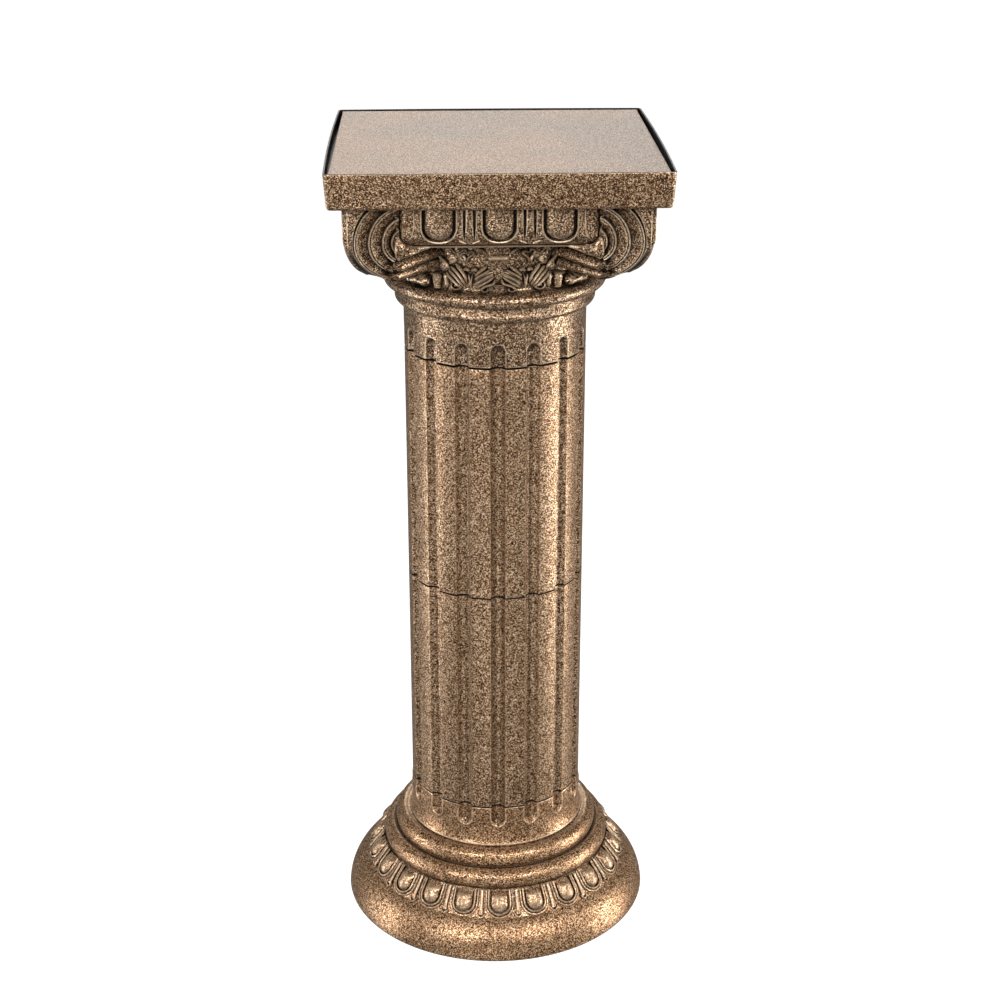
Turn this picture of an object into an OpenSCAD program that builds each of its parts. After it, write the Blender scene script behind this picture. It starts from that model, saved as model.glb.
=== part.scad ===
// Moulded pedestal column: flared base, two fluted shaft sections, capital with corner
// volutes and egg-and-dart, square tray top and a loose top panel. Every piece is a hollow
// moulding. Millimetres, +Z up, origin at the centre of the foot on the floor, front is -Y.

/* [Heights] */
// Height of the base moulding, floor to its seam with the shaft
base_h = 155; // [140:1:200]
// Height of each of the two shaft sections
shaft_h = 262.5; // [160:0.5:400]
// Height of the capital, from its seam with the shaft to the tray
capital_h = 183.5; // [178:0.5:230]
// Height of the square tray at the top
tray_h = 36.5; // [24:0.5:60]

/* [Widths] */
// Outer radius of the shaft over its lands
shaft_r = 98.3; // [80:0.1:108]
// Outer radius of the foot on the floor
foot_r = 176.2; // [160:0.1:220]
// Side of the square tray, corner to corner along its rim
tray_w = 340; // [316:1:420]
// Half the width of the capital over its corner volutes
volute_reach = 154; // [140:0.5:158]

/* [Walls and fits] */
// Thickness of every moulded wall
wall = 3; // [2:0.1:3.4]
// Height of the collar that keys one section into the next
collar_h = 12; // [6:1:20]
// Radial clearance round a collar
collar_gap = 0.5; // [0.3:0.1:1]
// Thickness of the tray's rim at the top
rim_t = 2; // [1.5:0.1:3]
// Gap between the rim and the top panel
panel_gap = 3; // [1:0.1:6]
// Thickness of the top panel
panel_t = 3; // [2:0.5:5]
// How far the rim stands above the top panel
rim_lip = 1; // [0.5:0.1:3]
// Width of the ledge that carries the top panel
ledge_w = 12; // [8:1:20]

/* [Flutes] */
// Number of flutes round the shaft
flute_count = 16; // [12:1:18]
// Radius of the round tool that shapes a flute
flute_r = 8.2; // [6:0.1:9.4]
// Depth of a flute below the land
flute_depth = 6.5; // [4:0.1:7]
// How far the flutes run up into the capital
flute_top_run = 23.5; // [12:0.5:30]
// How far the flutes run down into the base
flute_foot_run = 24; // [12:0.5:30]

/* [Base mouldings] */
// Radius of the foot's quarter round
foot_round_r = 49; // [40:0.5:52]
// Radius of the two rolls above the foot
roll_r = 13.5; // [10:0.1:15]
// Radius to the middle of the upper roll
upper_roll_r = 105; // [102:0.5:112]
// Height of the middle of the upper roll
upper_roll_z = 94; // [90:0.5:98]
// Radius to the middle of the lower roll
lower_roll_r = 119; // [115:0.5:124]
// Height of the middle of the lower roll
lower_roll_z = 75; // [70:0.5:78]
// Number of eggs round the base
base_egg_count = 22; // [18:1:22]
// Radius of an egg on the base
base_egg_r = 10.2; // [7:0.1:11]
// Gap between an egg and its raised border
egg_groove = 2; // [1:0.1:3]

/* [Capital mouldings] */
// Radius of the upper neck ring, over all
upper_ring_r = 118.9; // [114:0.1:124]
// Radius of the lower neck ring, over all
lower_ring_r = 107.5; // [104:0.1:112]
// Radius of the round bell behind the leaves
bell_r = 107; // [104:0.5:111]
// Distance between two eggs on a side
side_egg_pitch = 59.5; // [54:0.5:62]
// Radius of an egg on a side
side_egg_r = 15; // [12:0.5:17]
// Outer radius of a volute's scroll
scroll_r = 50; // [44:0.5:54]
// Number of bands in a volute's scroll
band_count = 4; // [3:1:5]
// Width of the raised fillet between two bands
fillet_w = 2.5; // [2:0.1:4]
// Depth of the channel between two fillets
channel_depth = 3.5; // [2:0.1:5]
// Number of curled leaves on each side
leaf_count = 4; // [2:2:6]
// Number of ribs in a curled leaf
rib_count = 4; // [3:1:5]

/* [Tray] */
// Radius of the tray's corners, seen from above
tray_corner_r = 5; // [3:0.5:10]
// Radius of the tray's lower edge
tray_edge_r = 5; // [2:0.5:8]
// How much narrower each side is at the bottom
tray_draft = 2.4; // [0:0.1:4]
// How far each side bows outwards at its middle
side_bow = 2.3; // [0.5:0.1:4]

/* [Hidden] */
$fn = 96;

bronze = "#8b735b";
bronze_light = "#a3815d";
panel_tan = "#c7b3a4";

// Heights of the seams
seam_base = base_h;
seam_shaft = base_h + shaft_h;
seam_capital = seam_shaft + shaft_h;
tray_z = seam_capital + capital_h;
column_h = tray_z + tray_h;

// The widest round thing that passes inside every flute
bore_r = shaft_r - flute_depth - wall;
collar_r = bore_r - collar_gap;
collar_bore_r = collar_r - wall;
flute_axis_r = shaft_r - flute_depth + flute_r;

// A little extra length, so that cuts pass right through
through = 1;

// ---------------------------------------------------------------- shared shapes

// Copies its children round the axis, one for each of n places, the first at the front
module around(n) {
    for (i = [0 : n - 1]) rotate([0, 0, i * 360 / n - 90]) children();
}

// Outline of the fluted shaft, grown or shrunk all round by a wall
module shaft_outline(inset = 0) {
    difference() {
        circle(r = shaft_r - inset);
        around(flute_count) translate([flute_axis_r, 0]) circle(r = flute_r + inset);
    }
}

// A flute's tool: upright, with a round end at its bottom (way = -1) or top (way = 1)
module flute_tool(z_end, z_open, way) {
    tip_z = z_end - way * flute_r;
    translate([flute_axis_r, 0, tip_z]) sphere(r = flute_r);
    translate([flute_axis_r, 0, min(tip_z, z_open)]) cylinder(r = flute_r, h = abs(z_open - tip_z));
}

// A rounded pill: a cylinder along +Z with a ball at its lower end
module pill(r, h) {
    sphere(r = r);
    cylinder(r = r, h = h);
}

// Half section of the collar that keys a section into the one above, with its flange
module collar_section(z) {
    translate([collar_bore_r, z - wall]) square([bore_r + wall / 2 - collar_bore_r, wall]);
    translate([collar_bore_r, z - wall]) square([wall, wall + collar_h]);
}

// ---------------------------------------------------------------- base

// The lip at the bottom of the stub, where the first roll begins
lip_z = upper_roll_z + roll_r;
lip_r = shaft_r + 3.8;
lip_flare_h = 16;
// Depth of the notch under each lip
lip_notch = 2;

// Where the egg band meets the lower roll and the foot, as angles round those two arcs
roll_turn = 30;
foot_turn = 62;
band_top_r = lower_roll_r + roll_r * cos(roll_turn);
band_top_z = lower_roll_z - roll_r * sin(roll_turn);
foot_round_x = foot_r - foot_round_r;
band_foot_r = foot_round_x + foot_round_r * cos(foot_turn);
band_foot_z = foot_round_r * sin(foot_turn);
band_lean = atan2(band_top_z - band_foot_z, band_foot_r - band_top_r);
band_len = norm([band_top_z - band_foot_z, band_foot_r - band_top_r]);

// How far down the egg band the eggs' round ends have their centres, and how far up they run,
// both as shares of the band's length
egg_place = 0.62;
egg_reach = 0.56;
egg_rise = band_len * egg_reach;
// The part of an egg's radius that is sunk in the band, and the band's raised borders and darts
egg_sink = 0.45;
border_w = 3.4;
border_h = 2;
band_plate_t = 2.5;
dart_w = 6;
// How far the darts' stems reach below the eggs' centres
dart_drop = base_egg_r + egg_groove / 2;

// Half section of the base's mouldings, shrunk by a wall for the hollow inside
module base_section(inset = 0) {
    intersection() {
        translate([foot_round_x, 0]) circle(r = foot_round_r - inset);
        translate([0, -inset]) square([foot_r, foot_round_r + inset]);
    }
    translate([0, -inset]) square([foot_round_x, band_foot_z]);
    // the egg band's slope, moved in level by as much as makes it a wall thick
    level = inset / sin(band_lean);
    polygon([
        [0, 0], [band_foot_r - level, 0], [band_foot_r - level, band_foot_z],
        [band_top_r - level, band_top_z], [0, band_top_z]
    ]);
    translate([lower_roll_r, lower_roll_z]) circle(r = roll_r - inset);
    square([lower_roll_r, lower_roll_z + roll_r - lip_notch - inset]);
    translate([upper_roll_r, upper_roll_z]) circle(r = roll_r - inset);
    square([upper_roll_r, upper_roll_z]);
    square([upper_roll_r - lip_notch - inset, lip_z - lip_notch - inset]);
}

// The stub of shaft on top of the base, flared to a sharp lip
module stub_section() {
    square([shaft_r, seam_base]);
    polygon([[shaft_r, lip_z], [lip_r, lip_z], [shaft_r, lip_z + lip_flare_h]]);
}

// Places a child on the egg band, its +Z up the slope and its +X outwards
module on_band(along) {
    translate([band_top_r + (band_foot_r - band_top_r) * along, 0,
               band_top_z - (band_top_z - band_foot_z) * along])
        rotate([0, band_lean - 90, 0]) children();
}

module base_shell() {
    rotate_extrude() union() {
        difference() {
            union() {
                base_section();
                stub_section();
            }
            base_section(wall);
            translate([0, -through]) square([bore_r, column_h]);
        }
        collar_section(seam_base);
    }
}

// Upright plate on the egg band with a given outline, raised by the border's height
module on_band_plate(raise) {
    translate([-band_plate_t, 0, 0])
        rotate([90, 0, 90]) linear_extrude(band_plate_t + raise) children();
}

// Outline with a round bottom and straight sides
module u_outline(r, h) {
    circle(r = r);
    translate([-r, 0]) square([2 * r, h]);
}

// One egg with the raised border round it
module base_egg() {
    on_band_plate(border_h) difference() {
        u_outline(base_egg_r + egg_groove + border_w, egg_rise);
        u_outline(base_egg_r + egg_groove, egg_rise + through);
    }
    translate([-base_egg_r * egg_sink, 0, 0]) pill(base_egg_r, egg_rise);
}

// The dart between two eggs: a stem with an arrowhead at its foot
module base_dart() {
    on_band_plate(border_h) {
        translate([-dart_w / 2, -dart_drop]) square([dart_w, dart_drop + egg_rise]);
        polygon([[-dart_w, -dart_drop], [0, -dart_drop - dart_w], [dart_w, -dart_drop]]);
    }
}

module base() color(bronze_light) {
    difference() {
        base_shell();
        // flutes run out in round ends below the seam
        around(flute_count) flute_tool(seam_base - flute_foot_run, seam_base + through, -1);
    }
    around(base_egg_count) on_band(egg_place) base_egg();
    rotate([0, 0, 180 / base_egg_count]) around(base_egg_count) on_band(egg_place) base_dart();
}

// ---------------------------------------------------------------- shaft

module shaft_section(z) {
    translate([0, 0, z]) linear_extrude(shaft_h) difference() {
        shaft_outline();
        shaft_outline(wall);
    }
    rotate_extrude() collar_section(z + shaft_h);
}

module shaft_lower() color(bronze) shaft_section(seam_base);

module shaft_upper() color(bronze) shaft_section(seam_shaft);

// ---------------------------------------------------------------- capital

// Neck rings, counted up from the seam, and the two rings' own radii
lower_ring_z = seam_capital + 56.4;
upper_ring_z = seam_capital + 75.7;
lower_ring_t = 6;
upper_ring_t = 7.2;
// The block behind the eggs: its lower edge and the round that brings it there
echinus_h = 41.5;
echinus_z = tray_z - echinus_h;
echinus_setback = 4;
echinus_reach = volute_reach - echinus_setback;
echinus_round_r = 16;
// Width of a volute's face on each side, which leaves this half width to the eggs
volute_w = 56;
echinus_half = volute_reach - volute_w;
// The thin fillet under the eggs: how far it stands back and how far it runs into the volutes
thin_fillet_setback = 14;
thin_fillet_run = 6;
// Middle of a volute's scroll, and how far its face leans back below that
scroll_drop = 28.5;
scroll_z = tray_z - scroll_drop;
scroll_bulge = 1.5;
scroll_v = volute_reach + scroll_bulge - scroll_r;
lean_r = 68;
// The channels leave a round eye, and start this far inside the scroll's middle
eye_r = 9;
channel_start = 4;
band_pitch = (scroll_r - eye_r) / band_count;
// The flank of a volute turns in from the face to the bell along this line, as [out, along]
flank_setback = 12;
flank_bell_setback = 15;
flank_bell_half = 62;
flank_face = [volute_reach - flank_setback, echinus_half + 2];
flank_bell = [bell_r - flank_bell_setback, flank_bell_half];
// Radius of the two rolls along a flank, and how far they stop short of the face
flank_roll_r = 5.5;
flank_roll_stop = 2;
// The leaves' place round the bell, and a rib's size
leaf_z = upper_ring_z + 22;
leaf_spread = 15.9;
rib_r = 2.6;
rib_len = 15;
rib_pitch = 4.6;
rib_lean = 32;
rib_stand = 1.5;
// How far the upper leaves stand off the bell, and their outlines as [along, up from the thin fillet]
leaf_h = 3;
pointed_leaf = [[-20, 0], [20, 0], [0, -25]];
broad_leaf = [[24, -2], [52, -2], [44, -21], [26, -23]];
// The eggs on a side: how many, their middles' height, how far they stand out of the block
side_egg_count = 3;
side_egg_drop = 20.5;
side_egg_z = tray_z - side_egg_drop;
side_egg_stand = 2;
pocket_depth = 4;
// The two grooves beside a dart: depth, width, place from the dart's middle, height of their foot
dart_groove_depth = 3;
dart_groove_w = 2;
dart_groove_at = 5;
dart_groove_foot = 9;
// Half the width of the hollow behind the eggs
head_half = echinus_reach - echinus_round_r - 2 * wall;

// Neck, rings and bell as one turned half section, hollow inside
module neck_section() {
    difference() {
        union() {
            translate([0, seam_capital]) square([shaft_r, upper_ring_z - seam_capital]);
            translate([upper_ring_r - upper_ring_t, upper_ring_z]) circle(r = upper_ring_t);
            translate([0, upper_ring_z - upper_ring_t])
                square([upper_ring_r - upper_ring_t, 2 * upper_ring_t]);
            translate([lower_ring_r - lower_ring_t, lower_ring_z]) circle(r = lower_ring_t);
            translate([0, lower_ring_z - lower_ring_t])
                square([lower_ring_r - lower_ring_t, 2 * lower_ring_t]);
            translate([0, upper_ring_z]) square([bell_r, echinus_z + wall - upper_ring_z]);
        }
        translate([0, seam_capital - through]) square([bore_r, column_h]);
        translate([0, upper_ring_z + upper_ring_t]) square([bell_r - wall, column_h]);
    }
}

// Draws its children's outline, given as [along, up from the scroll's middle], and pushes it outwards
module outwards(length) {
    translate([0, 0, scroll_z]) rotate([90, 0, 90]) linear_extrude(length) children();
}

// Draws its children's outline, given as [out, up from the scroll's middle], and pushes it sideways
module sideways(from, to) {
    translate([0, to, scroll_z]) rotate([90, 0, 0]) linear_extrude(to - from) children();
}

// Outline of a volute's face: a round scroll under a straight outer edge
module scroll_outline() {
    translate([scroll_v, 0]) circle(r = scroll_r);
    square([scroll_v + scroll_r, tray_z - scroll_z]);
}

// Section of a volute's face, which leans back below the scroll's middle
module lean_outline(inset = 0) {
    translate([volute_reach - lean_r, 0]) circle(r = lean_r - inset);
    translate([0, -through]) square([volute_reach - inset, tray_z - scroll_z + through]);
}

// One channel between two fillets, open towards the middle of the side
module channel_outline(i) {
    outer = scroll_r - fillet_w - i * band_pitch;
    intersection() {
        translate([scroll_v, 0]) difference() {
            circle(r = outer);
            circle(r = outer - band_pitch + fillet_w);
        }
        translate([scroll_v - channel_start, -scroll_r]) square([2 * scroll_r, 2 * scroll_r]);
    }
}

// One half of a corner volute: the half on one side of the diagonal
module volute_half() {
    difference() {
        intersection() {
            outwards(volute_reach + scroll_r) scroll_outline();
            sideways(0, volute_reach + scroll_r) intersection() {
                lean_outline();
                translate([0, -scroll_r]) square([volute_reach, scroll_r + tray_z - scroll_z]);
            }
            translate([0, 0, scroll_z - scroll_r]) linear_extrude(scroll_r + tray_z - scroll_z)
                polygon([
                    [flank_bell[1], flank_bell[1]], flank_bell, flank_face,
                    [volute_reach + scroll_r, flank_face[1]],
                    [volute_reach + scroll_r, volute_reach + scroll_r]
                ]);
        }
        intersection() {
            outwards(volute_reach + scroll_r) for (i = [0 : band_count - 1]) channel_outline(i);
            sideways(0, volute_reach + scroll_r) difference() {
                translate([0, -scroll_r - through])
                    square([volute_reach + through, scroll_r + 2 * through + tray_z - scroll_z]);
                lean_outline(channel_depth);
            }
        }
    }
    flank_turn = atan2(flank_face[1] - flank_bell[1], flank_face[0] - flank_bell[0]);
    for (drop = [2 * flank_roll_r, 4 * flank_roll_r])
        translate([flank_bell[0], flank_bell[1], echinus_z - drop])
            rotate([0, 90, flank_turn])
                cylinder(r = flank_roll_r, h = norm(flank_face - flank_bell) - flank_roll_stop);
}

// Copies its children along a side, one for each egg, or one between each two with gaps = true
module along_side(gaps = false) {
    n = side_egg_count - (gaps ? 1 : 0);
    for (i = [0 : n - 1]) translate([0, (i - (n - 1) / 2) * side_egg_pitch, 0]) children();
}

// The pocket that an egg lies in
module side_pocket() {
    translate([echinus_reach - pocket_depth, 0, side_egg_z])
        rotate([90, 0, 90]) linear_extrude(pocket_depth + through)
            u_outline(side_egg_r + egg_groove, side_egg_drop + through);
}

module side_egg() {
    translate([echinus_reach + side_egg_stand - side_egg_r, 0, side_egg_z])
        pill(side_egg_r, side_egg_drop);
}

// The two grooves beside a dart
module dart_grooves() {
    for (side = [-1, 1])
        translate([echinus_reach - dart_groove_depth, side * dart_groove_at - dart_groove_w / 2,
                   echinus_z + dart_groove_foot])
            cube([dart_groove_depth + through, dart_groove_w, echinus_h]);
}

// One side of the block under the tray, with its eggs and the grooves beside each dart
module echinus_side() {
    difference() {
        translate([0, echinus_half, 0]) rotate([90, 0, 0]) linear_extrude(2 * echinus_half) {
            translate([0, echinus_z + echinus_round_r])
                square([echinus_reach, tray_z - echinus_z - echinus_round_r]);
            translate([0, echinus_z])
                square([echinus_reach - echinus_round_r, tray_z - echinus_z]);
            translate([echinus_reach - echinus_round_r, echinus_z + echinus_round_r])
                circle(r = echinus_round_r);
        }
        along_side() side_pocket();
        along_side(gaps = true) dart_grooves();
    }
    along_side() side_egg();
    // thin fillet that joins the two volutes under the eggs
    translate([0, -echinus_half - thin_fillet_run, echinus_z - wall])
        cube([echinus_reach - thin_fillet_setback, 2 * (echinus_half + thin_fillet_run), wall]);
}

// One curled leaf: ribs that lean together
module curled_leaf(way) {
    for (i = [0 : rib_count - 1])
        translate([bell_r + rib_stand, (i - (rib_count - 1) / 2) * rib_pitch, 0])
            rotate([way * rib_lean, 0, 0]) translate([0, 0, -rib_len / 2]) pill(rib_r, rib_len);
}

// Outlines of the pointed leaf in the middle of a side and the broad ones beside it
module upper_leaf_outlines() {
    translate([0, echinus_z - wall]) {
        polygon(pointed_leaf);
        polygon(broad_leaf);
        mirror([1, 0]) polygon(broad_leaf);
    }
}

// The leaves on one side of the bell
module leaves() {
    for (i = [0 : leaf_count - 1])
        rotate([0, 0, (i - (leaf_count - 1) / 2) * leaf_spread])
            translate([0, 0, leaf_z]) curled_leaf(i % 2 == 0 ? 1 : -1);
    intersection() {
        rotate([90, 0, 90]) linear_extrude(bell_r + leaf_h) upper_leaf_outlines();
        translate([0, 0, upper_ring_z]) difference() {
            cylinder(r = bell_r + leaf_h, h = echinus_z - upper_ring_z);
            translate([0, 0, -through]) cylinder(r = bell_r - wall / 2, h = capital_h);
        }
    }
}

module capital() color(bronze) {
    difference() {
        rotate_extrude() neck_section();
        around(flute_count) flute_tool(seam_capital + flute_top_run, seam_capital - through, 1);
    }
    around(4) {
        leaves();
        volute_half();
        mirror([0, 1, 0]) volute_half();
    }
    difference() {
        around(4) echinus_side();
        translate([0, 0, echinus_z - wall - through])
            cylinder(r = bell_r - wall, h = 2 * (wall + through));
        translate([-head_half, -head_half, echinus_z + wall])
            cube([2 * head_half, 2 * head_half, tray_z - echinus_z - 2 * wall]);
    }
}

// ---------------------------------------------------------------- tray and panel

// Step between two points along half a side, angle between two layers of the lower edge, a layer's height
bow_step = 0.125;
edge_step = 22.5;
layer_h = 0.01;

// Square outline whose sides bow outwards, with rounded corners
function bowed_side(w, turn) = [
    for (t = [-1 : bow_step : 1 - bow_step]) let (x = w / 2 + side_bow * (1 - t * t), y = t * w / 2)
        [x * cos(turn) - y * sin(turn), x * sin(turn) + y * cos(turn)]
];

module bowed_square(w) {
    offset(r = tray_corner_r, $fn = 32) offset(delta = -tray_corner_r)
        polygon([for (turn = [0 : 90 : 270]) each bowed_side(w, turn)]);
}

module tray_layer(inset, z) {
    translate([0, 0, z]) linear_extrude(layer_h) bowed_square(tray_w - 2 * inset);
}

module tray() color(bronze) {
    edge_inset = tray_draft * (1 - tray_edge_r / tray_h);
    difference() {
        hull() {
            for (turn = [0 : edge_step : 90])
                tray_layer(edge_inset + tray_edge_r * (1 - sin(turn)),
                           tray_z + tray_edge_r * (1 - cos(turn)));
            tray_layer(0, column_h - layer_h);
        }
        translate([0, 0, column_h - rim_lip - panel_t])
            linear_extrude(column_h) bowed_square(tray_w - 2 * rim_t);
        translate([0, 0, tray_z + wall])
            linear_extrude(column_h) bowed_square(tray_w - 2 * rim_t - 2 * ledge_w);
    }
}

module top_panel() color(panel_tan) {
    panel_w = tray_w - 2 * (rim_t + panel_gap);
    translate([-panel_w / 2, -panel_w / 2, column_h - rim_lip - panel_t])
        cube([panel_w, panel_w, panel_t]);
}

base();
shaft_lower();
shaft_upper();
capital();
tray();
top_panel();
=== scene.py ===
"""A moulded pedestal column: flared base, two fluted shafts, capital with corner volutes, tray and panel.

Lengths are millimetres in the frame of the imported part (front is -Y); meshes are written in metres.
"""

import math

import bpy
import numpy as np
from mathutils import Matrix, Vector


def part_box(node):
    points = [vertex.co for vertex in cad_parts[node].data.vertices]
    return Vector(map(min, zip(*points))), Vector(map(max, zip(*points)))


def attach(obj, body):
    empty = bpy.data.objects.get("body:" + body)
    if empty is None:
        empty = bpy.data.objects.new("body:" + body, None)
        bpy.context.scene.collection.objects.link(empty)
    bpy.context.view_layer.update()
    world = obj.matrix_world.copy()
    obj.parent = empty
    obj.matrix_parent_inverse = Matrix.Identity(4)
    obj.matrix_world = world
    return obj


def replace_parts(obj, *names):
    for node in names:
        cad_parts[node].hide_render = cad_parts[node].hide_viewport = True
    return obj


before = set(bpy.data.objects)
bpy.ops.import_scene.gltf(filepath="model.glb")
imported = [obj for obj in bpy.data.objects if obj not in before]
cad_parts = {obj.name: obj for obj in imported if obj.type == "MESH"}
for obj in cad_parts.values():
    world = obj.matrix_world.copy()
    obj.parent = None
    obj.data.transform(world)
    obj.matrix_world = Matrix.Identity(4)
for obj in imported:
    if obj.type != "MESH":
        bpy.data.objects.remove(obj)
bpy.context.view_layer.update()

# millimetres in a metre
MM = 1000.0
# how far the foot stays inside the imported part's box
box_clearance = 0.05


# ---------------- sizes taken from the frame

def low(node):
    """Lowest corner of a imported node, in millimetres."""
    return np.array(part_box(node)[0]) * MM


def high(node):
    """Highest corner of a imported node, in millimetres."""
    return np.array(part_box(node)[1]) * MM


seam_base = low("shaft_lower")[2]
seam_shaft = low("shaft_upper")[2]
seam_capital = low("capital")[2]
tray_z = low("tray")[2]
column_h = high("tray")[2]
foot_r = high("base")[0] - box_clearance
volute_reach = high("capital")[0]
tray_bow_half = high("tray")[0]
panel_half = high("top_panel")[0]
panel_top = high("top_panel")[2]
panel_low = low("top_panel")[2]

# shaft: outer radius, bore, and the flutes' round tool with how soft their edges are
shaft_r = 98.3
bore_r = 88.8
flute_count = 16
flute_r = 8.2
flute_depth = 6.5
flute_axis_r = shaft_r - flute_depth + flute_r
flute_soft = 1.3
flute_foot_z = seam_base - 24
flute_top_z = seam_capital + 26
# raised lip round each flute's foot: height, distance from the flute's edge, and softness
foot_lip_h = 1.1
foot_lip_away = 0.6
foot_lip_soft = 1.5

# tone of painted shade, drawn dark in seams and gaps and along the feet of raised parts, and how far from a
# seam the painted seam shade reaches
dark = -2.5
seam_shade_reach = 1.02

# half the open line at each seam, and the radius of the shoulders that meet behind it
seam_gap = 0.55
neck_seam_gap = 1.0
shoulder_r = 90.4


# ---------------- closed grid surfaces

class Moulding:
    """Collects closed grid surfaces and writes them as one mesh.

    Each grid is an array [row, column, xyz] in millimetres whose columns close into a ring. Its rows
    either close too, or end in flat lids. Every point keeps how sharply the surface turns there,
    above zero on an edge that stands out and below zero in a hollow, plus any painted tone, as the
    attribute "edge"; the bronze finishes paint shade where it is below zero and highlights where above.
    """

    def __init__(self, name):
        self.name = name
        self.points = []
        self.loops = []
        self.sizes = []
        self.edges = []
        self.count = 0

    def add(self, grid, closed_rows=False, tone=0.0):
        """Adds one grid: neighbours are joined by quads, and the faces are turned to look outwards.

        tone is added to the "edge" attribute of its points, so that painted shade or a painted highlight
        can be drawn on a place.
        """
        rows, columns = grid.shape[:2]
        across = np.roll(grid, -1, 1) - grid
        along = np.roll(grid, -1, 0) - grid
        if not closed_rows:
            along[-1] = along[-2]
        centre = grid.reshape(-1, 3).mean(0)
        volume = ((grid - centre) * np.cross(across, along)).sum()
        tone = np.broadcast_to(tone, (rows, columns))
        if volume < 0:
            grid = grid[:, ::-1]
            tone = tone[:, ::-1]
        index = np.arange(rows * columns).reshape(rows, columns) + self.count
        below = index if closed_rows else index[:-1]
        above = np.roll(index, -1, 0) if closed_rows else index[1:]
        quads = np.stack([below, np.roll(below, -1, 1), np.roll(above, -1, 1), above], -1)
        self.points.append(grid.reshape(-1, 3))
        self.loops.append(quads.reshape(-1))
        self.sizes.append(np.full(quads.size // 4, 4))
        self.edges.append((edge_sharpness(grid, closed_rows) + tone).reshape(-1))
        self.count += rows * columns
        if not closed_rows:
            self.lid(grid[0], index[0][::-1])
            self.lid(grid[-1], index[-1])

    def lid(self, ring, index):
        """Closes a ring of points with a fan of triangles round its middle."""
        self.points.append(ring.mean(0)[None])
        self.edges.append(np.zeros(1))
        middle = np.full(len(index), self.count)
        fan = np.stack([middle, index, np.roll(index, -1)], -1)
        self.loops.append(fan.reshape(-1))
        self.sizes.append(np.full(len(index), 3))
        self.count += 1

    def finish(self, material, slot, smooth_angle=48):
        """Writes the mesh, rides it on the body and gives it its finish."""
        points = np.concatenate(self.points) / MM
        loops = np.concatenate(self.loops)
        sizes = np.concatenate(self.sizes)
        mesh = bpy.data.meshes.new(self.name)
        mesh.vertices.add(len(points))
        mesh.vertices.foreach_set("co", points.astype(np.float32).ravel())
        mesh.loops.add(len(loops))
        mesh.loops.foreach_set("vertex_index", loops.astype(np.int32))
        mesh.polygons.add(len(sizes))
        starts = np.concatenate([[0], np.cumsum(sizes)[:-1]])
        mesh.polygons.foreach_set("loop_start", starts.astype(np.int32))
        mesh.polygons.foreach_set("use_smooth", np.ones(len(sizes), bool))
        mesh.update(calc_edges=True)
        mesh.validate()
        sharp = mesh.attributes.new("edge", "FLOAT", "POINT")
        sharp.data.foreach_set("value", np.concatenate(self.edges).astype(np.float32))
        mesh.set_sharp_from_angle(angle=math.radians(smooth_angle))
        mesh.materials.append(material)
        piece = bpy.data.objects.new(self.name, mesh)
        bpy.context.scene.collection.objects.link(piece)
        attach(piece, "root")
        return piece


def edge_sharpness(grid, closed_rows):
    """Curvature of a grid surface along both of its directions, in 1/mm, above zero where it stands out.

    The turn of the line through three neighbours, divided by the mean of the two steps, is taken
    against the outward normal. Steps under a third of a millimetre count as that long.
    """
    shortest = 0.35
    sharpest = 1.2
    tiny = 1e-9
    ahead = [np.roll(grid, -1, axis) - grid for axis in (0, 1)]
    if not closed_rows:
        ahead[0][-1] = 0
    normal = np.cross(ahead[1] + np.roll(ahead[1], 1, 1), ahead[0] + np.roll(ahead[0], 1, 0))
    normal /= np.maximum(np.linalg.norm(normal, axis=-1, keepdims=True), tiny)
    total = np.zeros(grid.shape[:2])
    for axis in (0, 1):
        length = np.linalg.norm(ahead[axis], axis=-1, keepdims=True)
        heading = ahead[axis] / np.maximum(length, tiny)
        turn = heading - np.roll(heading, 1, axis)
        span = np.maximum((length + np.roll(length, 1, axis)) / 2, shortest)
        bend = -(turn / span * normal).sum(-1)
        if axis == 0 and not closed_rows:
            bend[0] = 0
            bend[-1] = 0
        total += bend
    return np.clip(total, -sharpest, sharpest)


def turned(grid, degrees):
    """The grid turned about the column's axis."""
    angle = math.radians(degrees)
    c, s = math.cos(angle), math.sin(angle)
    return grid @ np.array([[c, s, 0], [-s, c, 0], [0, 0, 1]])


sides = (0, 90, 180, 270)


def mirrored(grid):
    """The grid mirrored left to right."""
    return grid * np.array([-1.0, 1.0, 1.0])


def smooth_step(x, start, end):
    """0 before start, 1 after end, with a smooth rise between them."""
    t = np.clip((x - start) / (end - start), 0, 1)
    return t * t * (3 - 2 * t)


def arc(centre_x, centre_z, radius, start, end, count, squash=1.0):
    """Points of a circle's arc from one angle to another, in degrees, its height scaled by squash."""
    angle = np.radians(np.linspace(start, end, count))
    return np.stack([centre_x + radius * np.cos(angle),
                     centre_z + squash * radius * np.sin(angle)], -1)


def line(start, end, count):
    """Evenly spaced points from start to end, without the last."""
    return np.linspace(start, end, count + 1)[:-1]


def polar(radius, degrees):
    """The step of a length in a direction, as [sideways, up]."""
    return radius * np.array([math.cos(math.radians(degrees)), math.sin(math.radians(degrees))])


def joined(parts):
    """Joins lists of points into one array."""
    return np.concatenate([np.asarray(part, float) for part in parts])


# ---------------- lofts on a surface

def half_round(columns, width, height, sink, square=1.0):
    """Ring section [sideways, up]: a half ellipse on top, closed below by a shallow sunk arc.

    square above 1 makes the top fuller, by raising its cosine and sine to 1 / square.
    """
    angle = np.linspace(0, 2 * math.pi, columns, endpoint=False)
    c, s = np.cos(angle), np.sin(angle)
    full = 1 / square
    x = width * np.sign(c) * np.abs(c) ** full
    y = np.where(s > 0, height * np.abs(s) ** full, -sink * np.abs(s))
    return np.stack([x, y], -1)


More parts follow.
